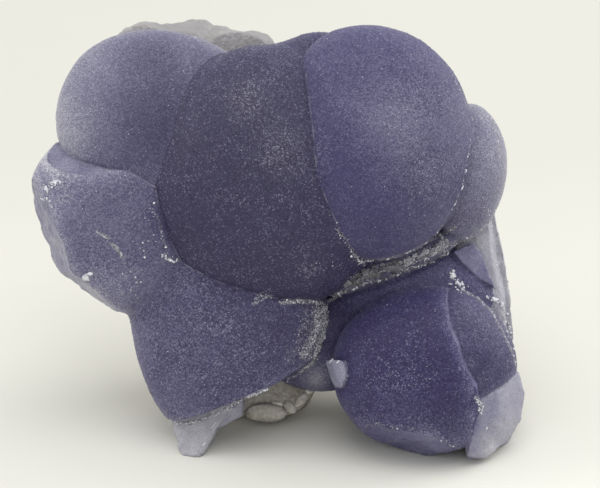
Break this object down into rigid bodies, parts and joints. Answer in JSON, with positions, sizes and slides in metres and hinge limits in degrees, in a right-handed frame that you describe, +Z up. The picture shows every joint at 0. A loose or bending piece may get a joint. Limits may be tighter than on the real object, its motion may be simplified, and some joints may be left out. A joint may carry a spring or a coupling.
{
  "type": "fluorite specimen",
  "caption": "Display mineral specimen: rounded, intergrown violet fluorite domes with a frosted surface and broken edges, on a pale quartz matrix that it leans back and rests on.",
  "frame": {"origin": "middle of the underside of the specimen's bounding box, on the surface that it stands on", "axes": "+X across the display face to the viewer's right, +Y from the display face to the matrix behind, +Z up"},
  "size_m": [0.0996, 0.0638, 0.0821],
  "materials": {
    "fluorite": "frosted, slightly translucent, with a fine sparkle",
    "quartz_matrix": "rough and granular"
  },
  "bodies": {
    "root": {"fluorite": "fluorite", "matrix": "quartz_matrix"}
  },
  "joints": []
}
